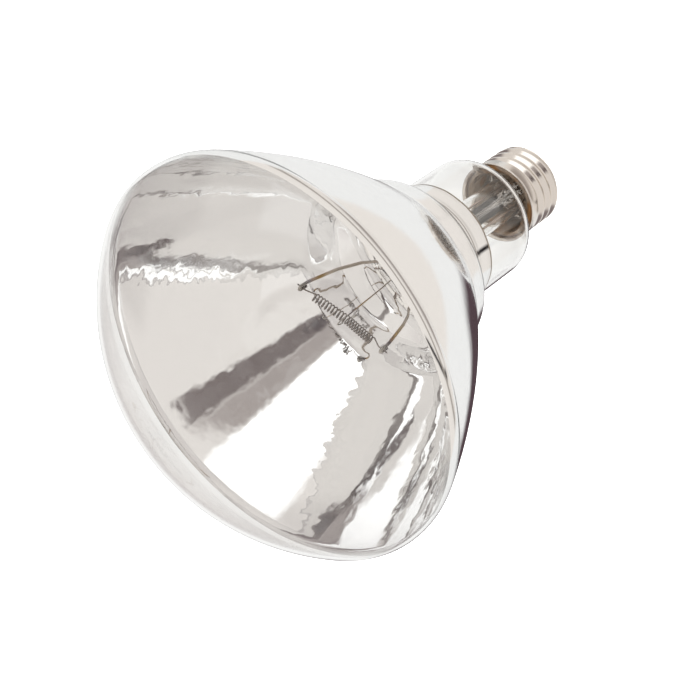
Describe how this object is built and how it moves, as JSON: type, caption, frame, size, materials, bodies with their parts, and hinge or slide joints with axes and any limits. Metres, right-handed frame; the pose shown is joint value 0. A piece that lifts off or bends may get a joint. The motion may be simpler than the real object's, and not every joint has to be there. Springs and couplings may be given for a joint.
{
  "type": "infrared heat lamp bulb",
  "caption": "Clear-faced infrared reflector heat lamp: mirrored glass bowl, domed front, coiled filament on two leads, and a metal screw cap.",
  "frame": {"origin": "tip of the centre contact's solder, on the lamp's axis", "axes": "+Z along the lamp's axis from the cap to the domed face, +X towards the lead that feeds the shell"},
  "size_m": [0.125, 0.125, 0.1702],
  "materials": {
    "clear_glass": "clear",
    "aluminised_mirror": "vapour-deposited mirror",
    "nickel_wire": "drawn",
    "copper_wire": "drawn",
    "tungsten_wire": "drawn",
    "cement": "matte",
    "cap_metal": "rolled sheet",
    "black_glass": "gloss",
    "contact_brass": "stamped",
    "solder": "dull"
  },
  "bodies": {
    "root": {"glass_bulb": "clear_glass", "reflector_coating": "aluminised_mirror", "glass_stem": "clear_glass", "inner_lead_a": "nickel_wire", "inner_lead_b": "nickel_wire", "seal_wire_a": "copper_wire", "seal_wire_b": "copper_wire", "outer_lead_a": "copper_wire", "outer_lead_b": "copper_wire", "support_wire": "nickel_wire", "filament": "tungsten_wire", "basing_cement": "cement", "screw_shell": "cap_metal", "base_insulator": "black_glass", "centre_contact": "contact_brass", "contact_solder": "solder", "shell_solder": "solder"}
  },
  "joints": []
}
